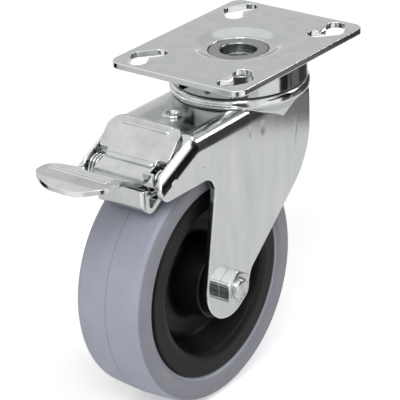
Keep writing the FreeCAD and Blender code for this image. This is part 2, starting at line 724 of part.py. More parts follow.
def wheel_rim():
    """A moulded rim: a flat ring that stands proud of the tyre, a smooth bowl each side of the web, and the hub."""
    mouth = RIM_RADIUS + " - flange_ring"
    half = [("hub_half", "bearing_outer"), ("hub_half", "hub_radius", "1"), ("web_half", "hub_radius + 2", "4"),
            ("web_half", mouth + " - bowl_wall", "5"), ("rim_half - 1", mouth, "3"), ("rim_half", mouth + " + 3", "4"),
            ("rim_half", RIM_RADIUS + " - 0.9", "0.6"), ("flange_foot", RIM_RADIUS), ("rim_seat_half", RIM_RADIUS),
            ("rim_seat_half", RIM_SEAT)]
    other = [("-(%s)" % x, *rest) for x, *rest in reversed(half)]
    bore = [("-bearing_inset", "bearing_outer"), ("-bearing_inset", "bearing_inset"),
            ("bearing_inset", "bearing_inset"), ("bearing_inset", "bearing_outer")]
    return axle_ring("wheel_rim", half + other + bore)


def tyre():
    shoulder = "tyre_radius - 1.3"
    return axle_ring("tyre", [
        ("-rim_seat_half", RIM_SEAT), ("rim_seat_half", RIM_SEAT), ("rim_seat_half", RIM_RADIUS),
        ("flange_foot", RIM_RADIUS), ("tyre_half", RIM_RADIUS + " + 2.5", "3"),
        ("tyre_half", shoulder, "tyre_shoulder"), ("0", "tyre_radius - crown_radius", "crown_radius", "disc"),
        ("-tyre_half", shoulder, "tyre_shoulder"), ("-tyre_half", RIM_RADIUS + " + 2.5", "3"),
        ("-flange_foot", RIM_RADIUS), ("-rim_seat_half", RIM_RADIUS)])


def bearing(name, side):
    """A sealed ball bearing: its inner ring stays with the axle, its outer ring and balls are in the hub."""
    low, high = "%sbearing_inset" % side, "%s(bearing_inset + bearing_width)" % side
    circle = "(bearing_outer + bearing_bore) / 2"
    middle = "%s(bearing_inset + bearing_width / 2)" % side
    inner = axle_ring("bearing_inner_" + name, axle_tube_profile("bearing_bore", circle + " - 1.2", low, high))
    outer = axle_ring("bearing_outer_" + name, axle_tube_profile(circle + " + 1.2", "bearing_outer", low, high))
    for body in (inner, outer):
        sketch = circle_in(new_sketch(body, "YZ_Plane"), middle, circle, "bearing_ball + 0.05")
        turned(body, "Groove", sketch, "H_Axis")
    place = FreeCAD.Placement(FreeCAD.Vector(-number("trail"), number(middle), -number("axle_drop")),
                              FreeCAD.Rotation(X_AXIS, 90))
    ball_set("bearing_balls_" + name, circle, "bearing_ball", "bearing_ball_count", place)
    axle_ring("end_spacer_" + name, axle_tube_profile("bearing_bore", "bearing_bore + 2.5", high, side + "fork_inner"))
    face = "%s(bearing_inset + bearing_width)" % side
    axle_ring("dust_cap_" + name, axle_tube_profile("bearing_bore + 3", "bearing_outer", face,
                                                    face + " + (%s0.8)" % side))


def hexagon(sketch, flats):
    """A hexagon about the axle, with a corner straight up."""
    across = "%s / 2 / cos(30)" % flats
    points = []
    for angle in range(30, 390, 60):
        along = "0" if angle in (90, 270) else "%s * cos(%d)" % (across, angle)
        points.append((along, "%s * sin(%d)" % (across, angle)))
    return outline(sketch, points)


def chamfer_hexagon(body, face, way):
    """Turns the corners of a hexagon off at 30 degrees on its free face."""
    corner = [(face, "nut_flats / 2 - 0.2"), (face, "nut_flats / 2 + 2.2"), (face + way, "nut_flats / 2 + 2.2")]
    turned(body, "Groove", outline(new_sketch(body, "YZ_Plane"), corner), "H_Axis")


def axle_bolt():
    end = "-bolt_end"
    seat = FORK_OUTER + " + washer_thick"
    body = axle_ring("axle_bolt", [(end, "0"), (seat + " + 1", "0"), (seat + " + 1", "bolt_radius"),
                                   (end + " + 1", "bolt_radius"), (end, "bolt_radius - 1")])
    # The sketch's normal points along -Y, so a place on the +Y side is a negative lift.
    lift = "-(%s + head_thick / 2)" % seat
    pad(body, hexagon(new_sketch(body, "XZ_Plane", lift), "nut_flats"), "head_thick")
    chamfer_hexagon(body, seat + " + head_thick", " - 1.4")
    return body


def axle_nut():
    body = new_body("axle_nut", AXLE)
    lift = "%s + nut_thick / 2" % FORK_OUTER
    pad(body, hexagon(new_sketch(body, "XZ_Plane", lift), "nut_flats"), "nut_thick")
    chamfer_hexagon(body, "-(%s) - nut_thick" % FORK_OUTER, " + 1.4")
    pocket(body, circle_in(new_sketch(body, "XZ_Plane"), "0", "0", "bolt_radius"))
    return body


def axle_parts():
    axle_bolt()
    axle_nut()
    axle_ring("head_washer", axle_tube_profile("bolt_radius", "washer_radius", FORK_OUTER,
                                               FORK_OUTER + " + washer_thick"))
    axle_ring("axle_tube", axle_tube_profile("tube_bore", "bearing_bore", "-fork_inner", "fork_inner"))
    axle_ring("centre_spacer", axle_tube_profile("bearing_bore", "bearing_bore + 2", "-bearing_inset", "bearing_inset"))
    bearing("near", "-")
    bearing("far", "")


def pin(label, x, drop, radius):
    """A pin from arm to arm, riveted and polished flush."""
    ends = [("-(%s)" % FORK_OUTER, "0"), (FORK_OUTER, "0"), (FORK_OUTER, radius), ("-(%s)" % FORK_OUTER, radius)]
    return ring_body(label, ends, "YZ_Plane", "H_Axis", {"x": "-" + x, "z": "-" + drop})


def hood_rivet():
    under = "-crown_top - steel - leaf_thick"
    return ring_body("hood_rivet", [
        ("0", under + " - 1.2"), ("rivet_radius + 1.2", under + " - 1.2", "0.6"), ("rivet_radius + 1.2", under),
        ("rivet_radius", under), ("rivet_radius", "-crown_top"), ("rivet_head", "-crown_top"),
        ("rivet_head", "-crown_top + rivet_head_height", "1"), ("rivet_dimple", "-crown_top + rivet_head_height", "0.5"),
        ("rivet_dimple - 0.6", "-crown_top + 0.2"), ("0", "-crown_top + 0.2")],
        base={"x": "-rivet_x"})


def leaf_spring():
    """A leaf under the hood, held by the hood's rivet. Its free end presses on the lever."""
    body = new_body("leaf_spring")
    drop = "(crown_top + steel + leaf_thick / 2)"
    strip(body, [("-leaf_front", "-" + drop), ("-leaf_bend", "-" + drop, "4"), ("-leaf_end", "-leaf_end_drop")],
          "leaf_front", drop, "leaf_thick", "2 * leaf_half")
    pocket(body, circle_in(new_sketch(body, "XY_Plane"), "-rivet_x", "0", "rivet_radius"))
    return body


def torsion_spring(name, side):
    """A coil round the pedal's pin, with a leg towards the fork and a leg beside the pedal's neck."""
    body = new_body("torsion_spring_" + name, {"x": "-pivot_x", "z": "-pivot_drop"})
    length = "coil_pitch * coil_turns"
    start, end = "-coil_inner - " + length, "-coil_inner"
    if side == "":
        start, end = "coil_inner", "coil_inner + " + length
    wire = circle_in(new_sketch(body, "YZ_Plane"), start, "-coil_radius", "wire_radius")
    coil = body.newObject("PartDesign::AdditiveHelix", body.Label + "_coil")
    coil.Profile = wire
    coil.ReferenceAxis = (wire, ["H_Axis"])
    coil.Mode = 1
    coil.LeftHanded = side == ""
    tie(coil, "Pitch", "coil_pitch")
    tie(coil, "Turns", "coil_turns")
    for place, way in ((start, 1 if side == "-" else -1), (end, -1 if side == "-" else 1)):
        leg = circle_in(new_sketch(body, "YZ_Plane", "%d * spring_leg / 2" % way), place, "-coil_radius", "wire_radius")
        pad(body, leg, "spring_leg")
    return body


def build_all():
    mounting_plate()
    upper_race_cup()
    kingpin()
    lower_race()
    lock_ring()
    fork()
    fork_race()
    dust_seal()
    up = FreeCAD.Placement(FreeCAD.Vector(0, 0, number(UPPER_BALLS)), FreeCAD.Rotation())
    ball_set("upper_balls", "upper_ball_circle", "upper_ball_radius", "upper_ball_count", up)
    low = FreeCAD.Placement(FreeCAD.Vector(0, 0, number(LOWER_BALLS)), FreeCAD.Rotation())
    ball_set("lower_balls", "lower_ball_circle", "lower_ball_radius", "lower_ball_count", low)
    hood_rivet()
    leaf_spring()
    pin("pivot_pin", "pivot_x", "pivot_drop", "pivot_radius")
    pin("lever_pin", "lever_pin_x", "lever_pin_drop", "lever_pin_radius")
    torsion_spring("near", "-")
    torsion_spring("far", "")
    axle_parts()
    wheel_rim()
    tyre()
    brake_pedal()
    brake_lever()
    brake_lining()


build_all()
doc.recompute()
for thing in doc.Objects:
    if "Invalid" in thing.State or "Error" in thing.State:
        raise RuntimeError("%s failed: %s" % (thing.Label, thing.State))
os.makedirs("parts", exist_ok=True)
for node in NODES:
    shape = node.Shape
    if shape.isNull() or not shape.isValid():
        raise RuntimeError("%s has no sound shape" % node.Label)
    shape.exportStep("parts/%s.step" % node.Label)
    print("%-20s %10.1f mm3 %d solids" % (node.Label, shape.Volume, len(shape.Solids)))
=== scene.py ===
# %% [markdown]
# # A swivel castor with a total-lock pedal
# This lesson dresses a finished CAD model. The solids arrive from the model as a fixed frame. We give every
# surface its real finish, add what the press and the mould leave behind, and set up a plain studio. All lengths
# in this file are in metres, so 3 mm is written 3 * MM.

import json
import math

import bpy
from mathutils import Matrix, Vector


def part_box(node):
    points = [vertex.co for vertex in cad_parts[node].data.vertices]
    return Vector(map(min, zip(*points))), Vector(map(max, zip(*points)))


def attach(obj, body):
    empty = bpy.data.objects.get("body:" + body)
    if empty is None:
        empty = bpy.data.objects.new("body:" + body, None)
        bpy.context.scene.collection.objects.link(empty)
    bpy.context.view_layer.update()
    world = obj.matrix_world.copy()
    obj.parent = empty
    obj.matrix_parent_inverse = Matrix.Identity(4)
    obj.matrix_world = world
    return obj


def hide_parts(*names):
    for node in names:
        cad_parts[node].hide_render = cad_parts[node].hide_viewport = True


MM = 0.001

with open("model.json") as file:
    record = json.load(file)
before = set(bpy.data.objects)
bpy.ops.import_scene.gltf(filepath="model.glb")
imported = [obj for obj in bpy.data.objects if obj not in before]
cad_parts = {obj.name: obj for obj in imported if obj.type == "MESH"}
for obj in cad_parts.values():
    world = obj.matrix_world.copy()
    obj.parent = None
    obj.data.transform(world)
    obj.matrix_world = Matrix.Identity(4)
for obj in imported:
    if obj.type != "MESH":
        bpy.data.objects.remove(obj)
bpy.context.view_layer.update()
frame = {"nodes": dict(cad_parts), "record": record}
nodes = frame["nodes"]

# %% [markdown]
# ## Where things are
# A few sizes of the castor come back again and again, so each gets a name. They are read from the CAD
# nodes' own boxes where that is possible, so that this file follows the model if it changes.

# %% Places on the castor
tyre_low, tyre_high = (Vector(corner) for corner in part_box("tyre"))
AXLE = (tyre_low + tyre_high) / 2
TYRE_RADIUS = (tyre_high.z - tyre_low.z) / 2
FLOOR = tyre_low.z
print("axle:", [round(v / MM, 1) for v in AXLE], "tyre radius:", round(TYRE_RADIUS / MM, 1))

# %% [markdown]
# ## Writing materials
# A material is a small graph of nodes, and a few helpers keep each graph short. One turns a colour as it is
# written on paper (sRGB hex) into the linear numbers that the renderer works with. One adds a node, sets its
# values and links its inputs in a single call, and the others stand for the nodes that come back most often.

# %% Colour and node helpers
def linear(hex_code):
    """An sRGB hex colour as linear red, green, blue and alpha."""
    parts = [int(hex_code[i:i + 2], 16) / 255 for i in (1, 3, 5)]
    return [p / 12.92 if p <= 0.04045 else ((p + 0.055) / 1.055) ** 2.4 for p in parts] + [1.0]


def add_node(tree, kind, settings=None, **inputs):
    """Adds a node. Settings are its properties. An input is a value, or a socket to link from, and goes by its
    name, or by its place as i0, i1 and so on where a node's inputs share one name."""
    node = tree.nodes.new(kind)
    for name, value in (settings or {}).items():
        setattr(node, name, value)
    for name, value in inputs.items():
        by_place = name[0] == "i" and name[1:].isdigit()
        socket = node.inputs[int(name[1:]) if by_place else name.replace("_", " ")]
        if isinstance(value, bpy.types.NodeSocket):
            tree.links.new(value, socket)
        else:
            socket.default_value = value
    return node


def maths(tree, operation, *values):
    """The result of a Math node."""
    inputs = {f"i{place}": value for place, value in enumerate(values)}
    return add_node(tree, "ShaderNodeMath", {"operation": operation}, **inputs).outputs["Value"]


def vector_maths(tree, operation, *values, result="Vector"):
    """The result of a Vector Math node: a vector, or a number where the result is Value."""
    inputs = {f"i{place}": value for place, value in enumerate(values)}
    return add_node(tree, "ShaderNodeVectorMath", {"operation": operation}, **inputs).outputs[result]


def mixed(tree, factor, first, second, how="MIX"):
    """Two colours, mixed by a factor."""
    settings = {"data_type": "RGBA", "blend_type": how}
    return add_node(tree, "ShaderNodeMix", settings, i0=factor, i6=first, i7=second).outputs[2]


def ramp(tree, factor, stops):
    """A colour ramp from (position, hex) pairs."""
    node = add_node(tree, "ShaderNodeValToRGB", Fac=factor)
    band = node.color_ramp
    while len(band.elements) < len(stops):
        band.elements.new(0.5)
    for element, (position, hex_code) in zip(band.elements, stops):
        element.position, element.color = position, linear(hex_code)
    return node.outputs["Color"]


# %% [markdown]
# A noise texture gives numbers that nearly all lie between 0.3 and 0.7, so each pattern is stretched from
# there to the values that it is meant to have. Patterns follow the object's own coordinates. They are in
# metres here, so a blotch keeps its real size on every piece.

# %% Pattern and material helpers
NOISE_LOW, NOISE_HIGH = 0.3, 0.7


def per_metre(size):
    """A noise scale whose blotches are about this size across."""
    return 1 / size


def spread(tree, factor, low, high):
    """A noise pattern, stretched to run from low to high."""
    return add_node(tree, "ShaderNodeMapRange", Value=factor, From_Min=NOISE_LOW, From_Max=NOISE_HIGH,
                    To_Min=low, To_Max=high).outputs["Result"]


def new_material(name):
    """An empty node material with a surface shader, and the coordinates that its patterns follow."""
    material = bpy.data.materials.new(name)
    material.use_nodes = True
    tree = material.node_tree
    tree.nodes.clear()
    shader = add_node(tree, "ShaderNodeBsdfPrincipled")
    output = add_node(tree, "ShaderNodeOutputMaterial")
    tree.links.new(shader.outputs["BSDF"], output.inputs["Surface"])
    place = add_node(tree, "ShaderNodeTexCoord").outputs["Object"]
    return material, tree, shader, place


def reopened(material):
    """The node tree, shader and coordinates of a finished material, for a mark that goes on top of it."""
    tree = material.node_tree
    return tree, tree.nodes["Principled BSDF"], add_node(tree, "ShaderNodeTexCoord").outputs["Object"]


# %% [markdown]
# ## Bright zinc on pressed steel
# The plate, fork, pedal and fasteners are cold-rolled steel, pressed and then zinc plated. Bright zinc is
# a cool, slightly blue silver, and nearly a mirror: the leg shows the nut that stands on it. The rolled
# sheet's grain breaks its reflections up a little, and the gloss wanders over the size of a finger tip.
# A Bevel node rounds the normal at the corners, and where the rounded normal leaves the flat one, the colour
# is painted lighter: a painted highlight along the edges. A metal's colour is in its reflection, so metallic is
# 1 and the IOR stays at its default.

# %% Zinc-plated steel
ROLL_GRAIN = 0.5 * MM  # the sheet's grain is nearer 0.1 mm, and is drawn coarser to show
GRAIN_DEPTH = 0.05 * MM
ZINC_BLOTCH = 9 * MM
# Painted highlight: between these two cosines the zinc's colour is painted towards the near-white below.
HIGHLIGHT_STARTS, HIGHLIGHT_FULL = 0.995, 0.9  # the cosine of the turn from the flat to the rounded normal
PAINTED_EDGE_HIGHLIGHT = "#F6F7F7"


def zinc_plated_steel(name, tone, light="#D1D3D3", rough=(0.08, 0.14), grain=0.22, edge=0.8 * MM, drawn=1.0):
    """Zinc on steel. Its grain is how rough the sheet feels, its edge how far the corners are rounded and carry
    a painted highlight, and drawn below 1 stretches its clouds along Z, the way that a press draws a leg."""
    material, tree, shader, place = new_material(name)
    flow = add_node(tree, "ShaderNodeMapping", Vector=place, Scale=(1.0, 1.0, drawn)).outputs["Vector"]
    blotch = add_node(tree, "ShaderNodeTexNoise", Vector=flow, Scale=per_metre(ZINC_BLOTCH), Detail=3.0)
    fine = add_node(tree, "ShaderNodeTexNoise", Vector=place, Scale=per_metre(ROLL_GRAIN), Detail=2.0)
    shade = ramp(tree, blotch.outputs["Fac"], [(NOISE_LOW, tone), (NOISE_HIGH, light)])
    rough_value = spread(tree, blotch.outputs["Fac"], *rough)
    rounded_normal = add_node(tree, "ShaderNodeBevel", {"samples": 6}, Radius=edge).outputs["Normal"]
    bump = add_node(tree, "ShaderNodeBump", Height=fine.outputs["Fac"], Strength=grain, Distance=GRAIN_DEPTH,
                    Normal=rounded_normal)
    true_normal = add_node(tree, "ShaderNodeNewGeometry").outputs["Normal"]
    # Painted highlight: where the rounded normal leaves the flat one, the colour is painted lighter.
    turn = vector_maths(tree, "DOT_PRODUCT", rounded_normal, true_normal, result="Value")
    edge_highlight = add_node(tree, "ShaderNodeMapRange", Value=turn, From_Min=HIGHLIGHT_STARTS, From_Max=HIGHLIGHT_FULL)
    shade_and_edge_highlight = mixed(tree, edge_highlight.outputs["Result"], shade, linear(PAINTED_EDGE_HIGHLIGHT))
    tree.links.new(shade_and_edge_highlight, shader.inputs["Base Color"])
    tree.links.new(rough_value, shader.inputs["Roughness"])
    tree.links.new(bump.outputs["Normal"], shader.inputs["Normal"])
    shader.inputs["Metallic"].default_value = 1.0
    return material


# %% [markdown]
# One recipe serves all the zinc, with a few numbers changed from piece to piece. The fork's sheet is drawn
# downwards in the press, so its clouds are long. The pedal is trodden on, so it is rougher. Turned pieces
# have hardly any grain, and the race cup and the kingpin's end are darker than the sheet.

# %% Seven zincs
FORK_EDGE = 1.3 * MM
sheet_zinc = zinc_plated_steel("zinc_plated_sheet", "#C6C9C9")
fork_zinc = zinc_plated_steel("zinc_plated_fork", "#C4C8C9", "#D6D7D6", edge=FORK_EDGE, drawn=0.2)
pedal_zinc = zinc_plated_steel("zinc_plated_pedal", "#C0C2C2", rough=(0.1, 0.2), grain=0.45, edge=0.5 * MM)
turned_zinc = zinc_plated_steel("zinc_plated_fastener", "#D0D2D2", grain=0.05, edge=0.3 * MM)
cup_zinc = zinc_plated_steel("zinc_plated_cup", "#AEB0B0", "#BABCBC", grain=0.05, edge=0.3 * MM)
kingpin_steel = zinc_plated_steel("zinc_plated_kingpin", "#8C8E8E", "#9A9C9C", (0.18, 0.28), 0.08, 0.4 * MM)
nut_zinc = zinc_plated_steel("zinc_plated_nut", "#BEC1C1", "#D2D4D4", (0.12, 0.22), 0.1, 0.5 * MM)
zincs = (sheet_zinc, fork_zinc, pedal_zinc, turned_zinc, cup_zinc, kingpin_steel, nut_zinc)
print("zinc materials:", [material.name for material in zincs])

# %% [markdown]
# ### Flush pins
# The fork's two hinge pins are riveted flush and polished over with the arm, so no ring should show round
# them. The Bevel node would draw one on each hole's rim: a rounded normal with its painted highlight. Its
# radius is a number like any other, so it is set to nothing close to the pins, and grows to its full size a
# millimetre further out.

# %% No rounded corners with a painted highlight round the flush pins
BARE, FULLY_ROUNDED = 5 * MM, 6 * MM  # how far from a pin's middle the corners are left alone, and fully rounded with their painted highlight

tree, _, place = reopened(fork_zinc)
side_on = vector_maths(tree, "MULTIPLY", place, (1.0, 0.0, 1.0))
reaches = []
for pin in ("pivot_pin", "lever_pin"):
    low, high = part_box(pin)
    middle = ((low.x + high.x) / 2, 0.0, (low.z + high.z) / 2)
    reaches.append(vector_maths(tree, "DISTANCE", side_on, middle, result="Value"))
radius = add_node(tree, "ShaderNodeMapRange", Value=maths(tree, "MINIMUM", *reaches), From_Min=BARE,
                  From_Max=FULLY_ROUNDED, To_Min=0.0, To_Max=FORK_EDGE)
tree.links.new(radius.outputs["Result"], tree.nodes["Bevel"].inputs["Radius"])
print("flush pins:", len(reaches))

# %% [markdown]
# ### Marks from the press
# The press wrinkles the sheet a little where the crown flows into the legs. Those marks are a few tenths of
# a millimetre deep and a finger nail long, so they are dents in the finish and not in the mesh: a stretched
# round spot for each, a little darker, and pressed in by a bump that is kept shallow, because a mirror
# shows the smallest slope.

# %% Press marks on the legs
# Place along X and Z, half width and half length, all in mm, and the lean in degrees.
PRESS_MARKS = [(9.9, -43.5, 1.3, 11.0, 8), (-27.9, -31.5, 1.2, 4.0, 0), (-17.5, -33.0, 3.0, 5.0, 0)]
MARK_DEPTH, MARK_SHADE, MARK_COLOUR = 0.05 * MM, 0.4, "#7C8082"

tree, shader, place = reopened(fork_zinc)
dent = None
for x, z, half_width, half_length, lean in PRESS_MARKS:
    local = add_node(tree, "ShaderNodeMapping", {"vector_type": "TEXTURE"}, Vector=place,
                     Location=(x * MM, 0.0, z * MM), Rotation=(0.0, math.radians(lean), 0.0),
                     Scale=(half_width * MM, 1.0, half_length * MM)).outputs["Vector"]
    reach = vector_maths(tree, "LENGTH", local, result="Value")
    spot = add_node(tree, "ShaderNodeMapRange", {"interpolation_type": "SMOOTHSTEP"}, Value=reach,
                    From_Min=1.0, From_Max=0.0).outputs["Result"]
    dent = spot if dent is None else maths(tree, "MAXIMUM", dent, spot)
pressed = add_node(tree, "ShaderNodeBump", {"invert": True}, Height=dent, Strength=1.0, Distance=MARK_DEPTH,
                   Normal=tree.nodes["Bump"].outputs["Normal"])
zinc_colour = shader.inputs["Base Color"].links[0].from_socket
darker = mixed(tree, maths(tree, "MULTIPLY", dent, MARK_SHADE), zinc_colour, linear(MARK_COLOUR))
tree.links.new(darker, shader.inputs["Base Color"])
tree.links.new(pressed.outputs["Normal"], shader.inputs["Normal"])
print("press marks:", len(PRESS_MARKS))

# %% [markdown]
# ### Rings from the lathe
# The nut and the bolt's end are faced on a lathe, whose tool leaves rings round the axle. A feed of 0.2 mm
# can't be seen from here, so the rings are drawn coarser. Rings this fine belong in a bump and not in the
# mesh, and the Wave texture draws them round an axis once its middle is put on the axle.

# %% Lathe rings on the nut
TOOL_FEED = 1.3 * MM
RING_DEPTH, RING_STRENGTH = 0.2 * MM, 0.7
WAVE_RADIANS = 20  # how far a Wave texture of scale 1 turns in one metre

tree, shader, place = reopened(nut_zinc)
centred = add_node(tree, "ShaderNodeMapping", Vector=place, Location=-AXLE).outputs["Vector"]
rings = add_node(tree, "ShaderNodeTexWave", {"wave_type": "RINGS", "rings_direction": "Y"}, Vector=centred,
                 Scale=math.tau / WAVE_RADIANS / TOOL_FEED)
faced = add_node(tree, "ShaderNodeBump", Height=rings.outputs["Fac"], Strength=RING_STRENGTH,
                 Distance=RING_DEPTH, Normal=tree.nodes["Bump"].outputs["Normal"])
tree.links.new(faced.outputs["Normal"], shader.inputs["Normal"])
print("rings:", TOOL_FEED / MM, "mm apart")

# %% [markdown]
# ## The rest of the finishes
# Ball races and bearings are ground steel, which is darker than zinc and has no sheet grain. The springs are
# drawn wire. The rim is black moulded nylon, the tyre grey elastic rubber with a satin skin from its mould,
# and the brake lining a brown friction pad. One helper writes the metals. The other writes what comes from a
# mould: a faint shift of colour, and a fine skin in the bump.

# %% Helpers: bare metal, and moulded plastic or rubber
MOULD_BLOTCH = 12 * MM


def plain_metal(name, tone, rough, blotch):
    """A bare metal of one colour, whose gloss wanders a little."""
    material, tree, shader, place = new_material(name)
    noise = add_node(tree, "ShaderNodeTexNoise", Vector=place, Scale=per_metre(blotch), Detail=2.0)
    tree.links.new(spread(tree, noise.outputs["Fac"], rough * 0.8, rough * 1.25), shader.inputs["Roughness"])
    shader.inputs["Base Color"].default_value = linear(tone)
    shader.inputs["Metallic"].default_value = 1.0
    return material


def moulded(name, dark, light, rough, skin, depth):
    """A moulded plastic or rubber. Skin is the size of its fine texture, and depth how deep that goes."""
    material, tree, shader, place = new_material(name)
    tint = add_node(tree, "ShaderNodeTexNoise", Vector=place, Scale=per_metre(MOULD_BLOTCH), Detail=4.0)
    fine = add_node(tree, "ShaderNodeTexNoise", Vector=place, Scale=per_metre(skin), Detail=3.0)
    bump = add_node(tree, "ShaderNodeBump", Height=fine.outputs["Fac"], Strength=0.25, Distance=depth)
    colour = ramp(tree, tint.outputs["Fac"], [(NOISE_LOW, dark), (NOISE_HIGH, light)])
    tree.links.new(colour, shader.inputs["Base Color"])
    tree.links.new(spread(tree, fine.outputs["Fac"], rough - 0.05, rough + 0.05), shader.inputs["Roughness"])
    tree.links.new(bump.outputs["Normal"], shader.inputs["Normal"])
    return material


ground_steel = plain_metal("ground_steel", "#A9ABAD", 0.22, 3 * MM)
spring_wire = plain_metal("drawn_spring_wire", "#B9BBBC", 0.18, 2 * MM)
black_nylon = moulded("black_moulded_nylon", "#0A0909", "#100F0F", 0.42, 0.6 * MM, 0.02 * MM)
black_nylon.node_tree.nodes["Principled BSDF"].inputs["Specular IOR Level"].default_value = 0.25
grey_rubber = moulded("grey_elastic_rubber", "#A5A9B7", "#ACB0BD", 0.5, 0.5 * MM, 0.02 * MM)
creased_rubber = moulded("grey_rubber_in_the_join", "#8A8D98", "#9295A0", 0.6, 0.5 * MM, 0.02 * MM)
seal_plastic = moulded("black_seal", "#0E0E0E", "#161616", 0.45, 0.6 * MM, 0.02 * MM)
friction_pad = moulded("brown_friction_pad", "#4A3626", "#5E4632", 0.8, 0.9 * MM, 0.1 * MM)
others = (ground_steel, spring_wire, black_nylon, grey_rubber, creased_rubber, seal_plastic, friction_pad)
print("other materials:", [material.name for material in others])

# %% [markdown]
# ### The tyre's side walls
# The side walls are painted darker and greyer than the tread, a painted shade for the light that falls on the
# tread more than on them. The tyre is one piece, so a second material would need its faces picked by hand. A
# mask on how far out a point lies does the same, and fades from the one tone to the other over the tread's
# round edge.

# %% Side walls painted darker, as shade
WALL_STARTS, WALL_FULL = 1.6 * MM, 0.9 * MM  # measured in from the tyre's widest place
# Painted shade: the side walls' colour is multiplied by this tint.
WALL_SHADE_TINT = "#D2CFCB"

tree, shader, place = reopened(grey_rubber)
tread_colour = shader.inputs["Base Color"].links[0].from_socket
aside = maths(tree, "ABSOLUTE", add_node(tree, "ShaderNodeSeparateXYZ", Vector=place).outputs["Y"])
wall_shade_mask = add_node(tree, "ShaderNodeMapRange", Value=aside, From_Min=tyre_high.y - WALL_STARTS,
                   From_Max=tyre_high.y - WALL_FULL).outputs["Result"]
# The painted shade goes onto the side walls here.
tread_and_wall_shade = mixed(tree, wall_shade_mask, tread_colour, linear(WALL_SHADE_TINT), "MULTIPLY")
tree.links.new(tread_and_wall_shade, shader.inputs["Base Color"])
print("side walls darker from", round((tyre_high.y - WALL_STARTS) / MM, 1), "mm off the tyre's middle")

# %% [markdown]
# ### A finish for each solid
# Each CAD node names a material slot in its record, and most take the finish of their slot. Where pieces of
# one slot look different on the real castor, such as the nut and the sheet under it, the piece's own finish
# comes first.

# %% Give each solid its finish
FINISH = {"zinc": sheet_zinc, "steel": ground_steel, "spring": spring_wire, "rim": black_nylon,
          "tyre": grey_rubber, "seal": seal_plastic, "lining": friction_pad}
OWN_FINISH = {"fork": fork_zinc, "brake_pedal": pedal_zinc, "upper_race_cup": cup_zinc,
              "kingpin": kingpin_steel, "axle_nut": nut_zinc, "axle_bolt": nut_zinc,
              "head_washer": turned_zinc, "hood_rivet": turned_zinc, "pivot_pin": turned_zinc,
              "lever_pin": turned_zinc}
slot_of = {part["node"]: part["material_slot"] for part in frame["record"]["subparts"]}
for name, node in nodes.items():
    node.data.materials.clear()
    node.data.materials.append(OWN_FINISH.get(name, FINISH[slot_of[name]]))
print("finishes:", sorted({m.name for n in nodes.values() for m in n.data.materials}))

# %% [markdown]
# ## Spun pieces
# Three details are round: the slope that the press draws in the plate's middle, the line that the tyre's
# mould leaves on the tread, and the thread on the axle bolt's end. Each is a short closed profile, spun
# round its axis, which is how a lathe makes a round piece. Rings built from primitives would need a new
# cylinder for each step of the profile.

# %% Helper: spin a profile round an axis
MERGE = 0.001 * MM
SHARP = math.radians(30)  # an edge that turns more than this stays sharp


def spun(name, profile, centre, axis, steps):
    """A ring from a closed profile of (distance from the axis, place along it) pairs."""
    axis = Vector(axis)
    out = axis.orthogonal().normalized()
    bpy.ops.object.select_all(action="DESELECT")
    bpy.ops.mesh.primitive_circle_add(vertices=len(profile), radius=1 * MM, fill_type="NOTHING")
    piece = bpy.context.object
    piece.name = name
    for vertex, (away, along) in zip(piece.data.vertices, profile):
        vertex.co = Vector(centre) + out * away + axis * along
    bpy.ops.object.mode_set(mode="EDIT")
    bpy.ops.mesh.select_all(action="SELECT")
    bpy.ops.mesh.spin(steps=steps, angle=math.tau, center=centre, axis=axis)
    bpy.ops.mesh.select_all(action="SELECT")
    bpy.ops.mesh.remove_doubles(threshold=MERGE)
    bpy.ops.mesh.normals_make_consistent(inside=False)
    bpy.ops.object.mode_set(mode="OBJECT")
    bpy.ops.object.shade_smooth_by_angle(angle=SHARP)
    print(name, "faces:", len(piece.data.polygons))
    return piece


# %% [markdown]
# ### The dish in the plate
# The plate's middle is drawn down round the kingpin in one soft slope, and no sharp rim catches the light.
# The solid has a straight-walled dish. The plate could be modelled anew, but its V-shaped holes are right,
# so a copy of it is cut with a spun bowl whose side is half a wave. The bowl stands proud of the plate, and
# its lip starts a hair above the face, so that no two faces lie on one plane, where a cut is unsure.

# %% Bowl that cuts the dish
DISH_MOUTH, DISH_FLOOR, DISH_DROP = 24 * MM, 15.6 * MM, 2.7 * MM  # the radii of its ends, and its depth
DISH_STEPS = 10
BOWL_TOP, BOWL_LIP = 1 * MM, 0.03 * MM

slope = [(DISH_MOUTH - (DISH_MOUTH - DISH_FLOOR) * i / DISH_STEPS,
          -DISH_DROP * (1 - math.cos(math.pi * i / DISH_STEPS)) / 2) for i in range(1, DISH_STEPS + 1)]
top = [(0, BOWL_TOP), (DISH_MOUTH + 2 * MM, BOWL_TOP), (DISH_MOUTH + 1 * MM, BOWL_LIP)]
bowl = spun("dish_cutter", top + slope + [(0, -DISH_DROP)], (0, 0, 0), (0, 0, 1), 72)

# %% Plate with a soft dish
plate = bpy.data.objects.new("pressed_plate", nodes["mounting_plate"].data.copy())
bpy.context.collection.objects.link(plate)
bpy.ops.object.select_all(action="DESELECT")
plate.select_set(True)
bpy.context.view_layer.objects.active = plate
bpy.ops.object.mode_set(mode="EDIT")
bpy.ops.mesh.select_all(action="SELECT")
bpy.ops.mesh.remove_doubles(threshold=MERGE)
bpy.ops.object.mode_set(mode="OBJECT")
press = plate.modifiers.new("press", "BOOLEAN")
press.operation, press.solver, press.object = "DIFFERENCE", "EXACT", bowl
bpy.ops.object.modifier_apply(modifier=press.name)
bpy.data.objects.remove(bowl)
bpy.ops.object.shade_smooth_by_angle(angle=SHARP)
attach(plate, "plate")
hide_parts("mounting_plate")
print("plate faces:", len(plate.data.polygons),
      "lowest:", round(min(v.co.z for v in plate.data.vertices) / MM, 2))

# %% [markdown]
# ### The line on the tread
# The tyre's mould closes on the tread's middle, and rubber creeps a tenth of a millimetre into the join. A
# painted line would not break the tread's outline, so it is a real ridge, rooted inside the rubber.

